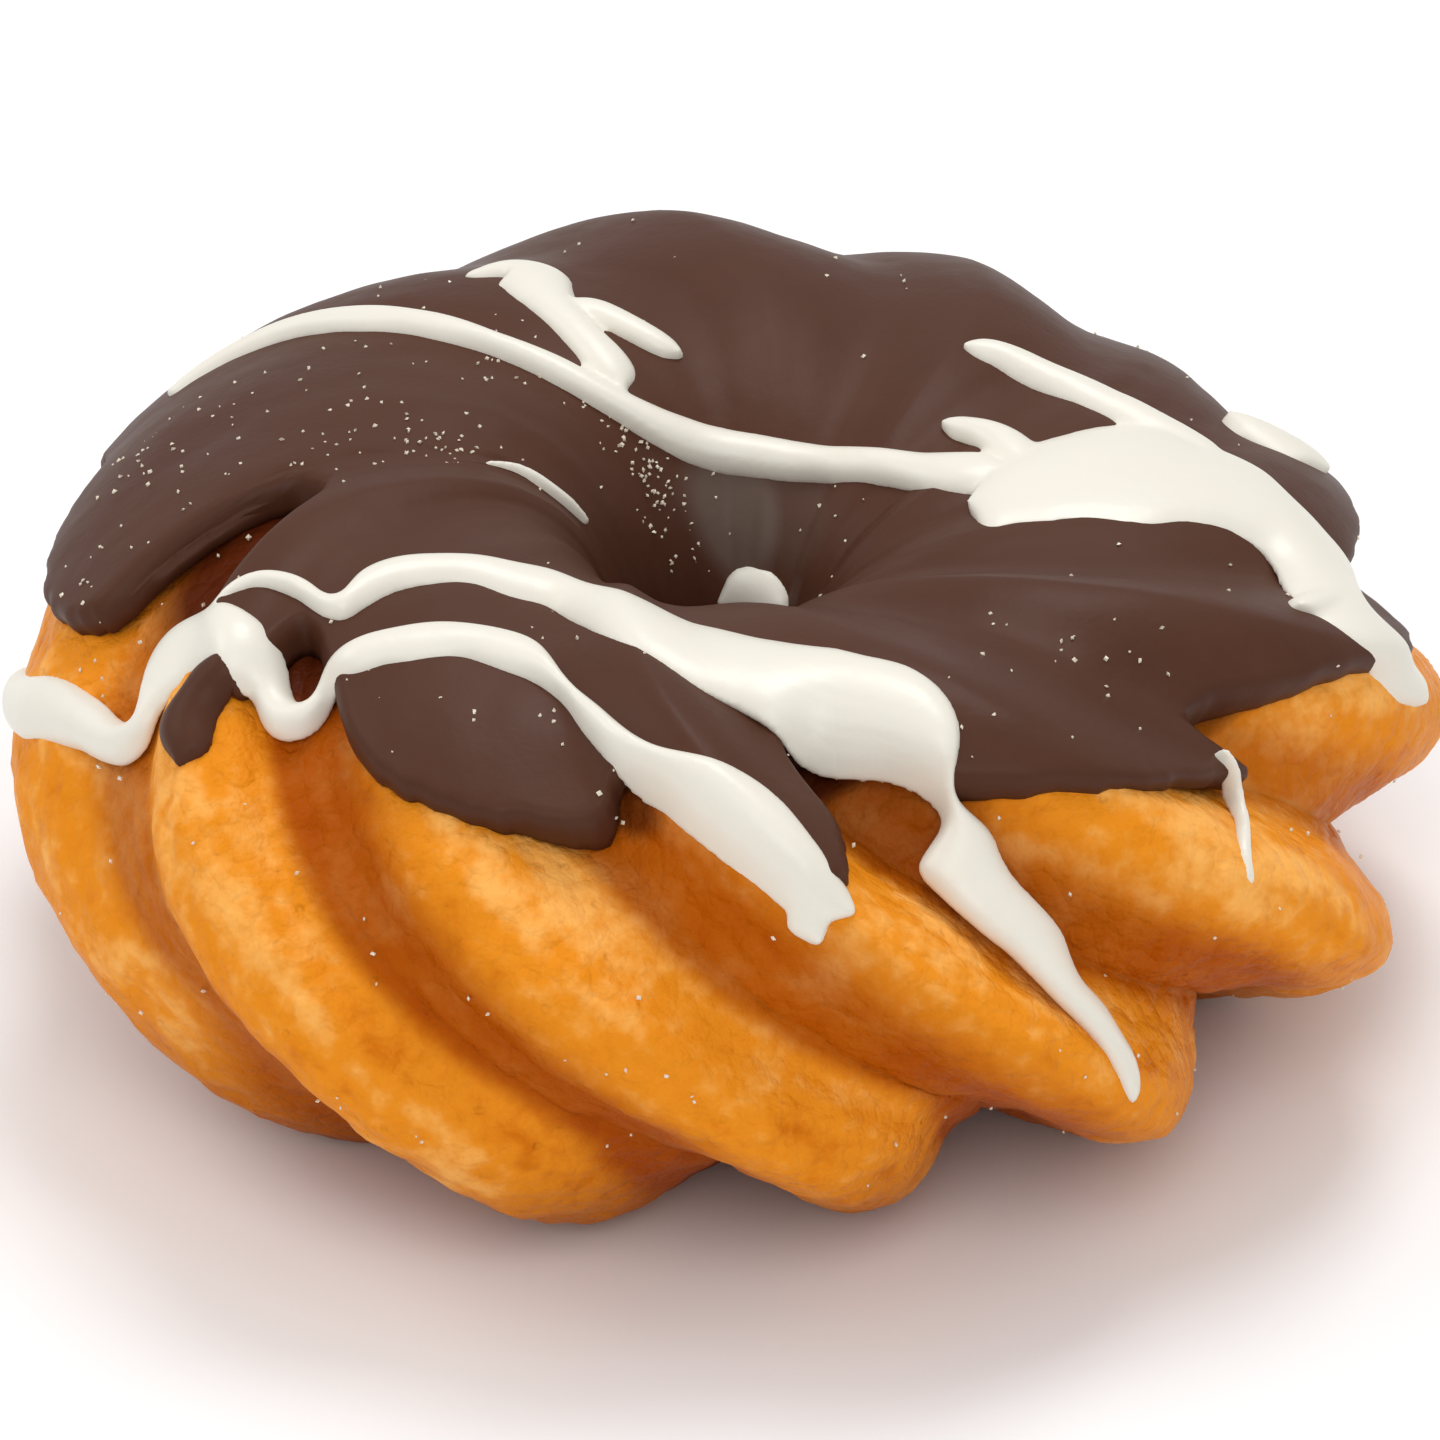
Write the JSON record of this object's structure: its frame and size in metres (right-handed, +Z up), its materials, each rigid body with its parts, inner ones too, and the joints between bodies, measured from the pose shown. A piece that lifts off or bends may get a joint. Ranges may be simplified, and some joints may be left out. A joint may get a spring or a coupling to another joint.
{
  "type": "glazed twisted ring pastry",
  "caption": "Ring of twisted, fluted fried choux with a chocolate glaze over its top and strokes of white icing piped across it; rests flat.",
  "frame": {"origin": "middle of the outline on the surface that the ring rests on; the hole's axis stands 1.81 mm towards -X and 1.04 mm towards -Y of it", "axes": "+Z up through the hole; -Y towards the front of the ring, where the icing crosses the glaze; +X to the right seen from the front"},
  "size_m": [0.0948, 0.0974, 0.0398],
  "materials": {
    "fried_choux": "golden fried choux, finely bubbled, with a slight greasy sheen",
    "chocolate": "set dark chocolate glaze, semi-gloss, with glossy off-white icing fused on top"
  },
  "bodies": {
    "root": {"pastry_ring": "fried_choux", "chocolate_glaze": "chocolate"}
  },
  "joints": []
}
